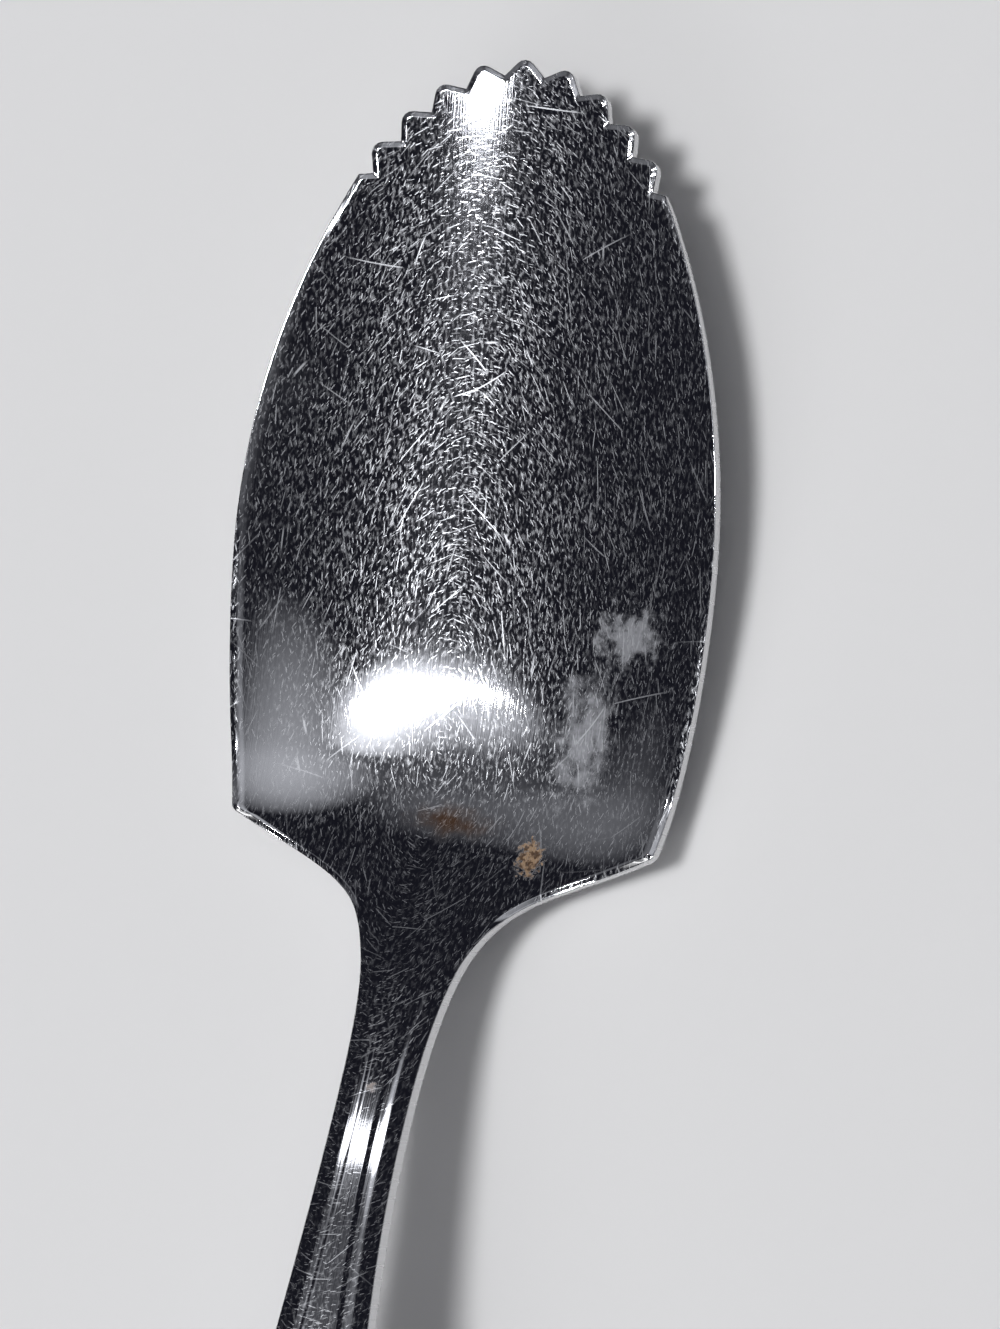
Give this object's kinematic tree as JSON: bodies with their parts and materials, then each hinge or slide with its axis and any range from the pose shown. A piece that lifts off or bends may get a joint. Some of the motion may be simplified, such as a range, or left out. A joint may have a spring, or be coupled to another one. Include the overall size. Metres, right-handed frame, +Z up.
{
  "type": "grapefruit spoon",
  "caption": "Stainless steel grapefruit spoon with a serrated pointed bowl tip, square shoulders, a slim arched neck and a flared handle with a sunk panel.",
  "frame": {"origin": "on the table under the middle of the spoon's length and width, with the spoon lying on its back", "axes": "+Y along the spoon to the serrated tip, +X to the right, +Z up out of the bowl; X = 0 is the plane of symmetry"},
  "size_m": [0.03, 0.152, 0.0137],
  "materials": {
    "steel": "polished stainless steel, worn, with fine scratches"
  },
  "bodies": {
    "root": {"serrated_tip": "steel", "bowl": "steel", "neck": "steel", "handle": "steel"}
  },
  "joints": []
}
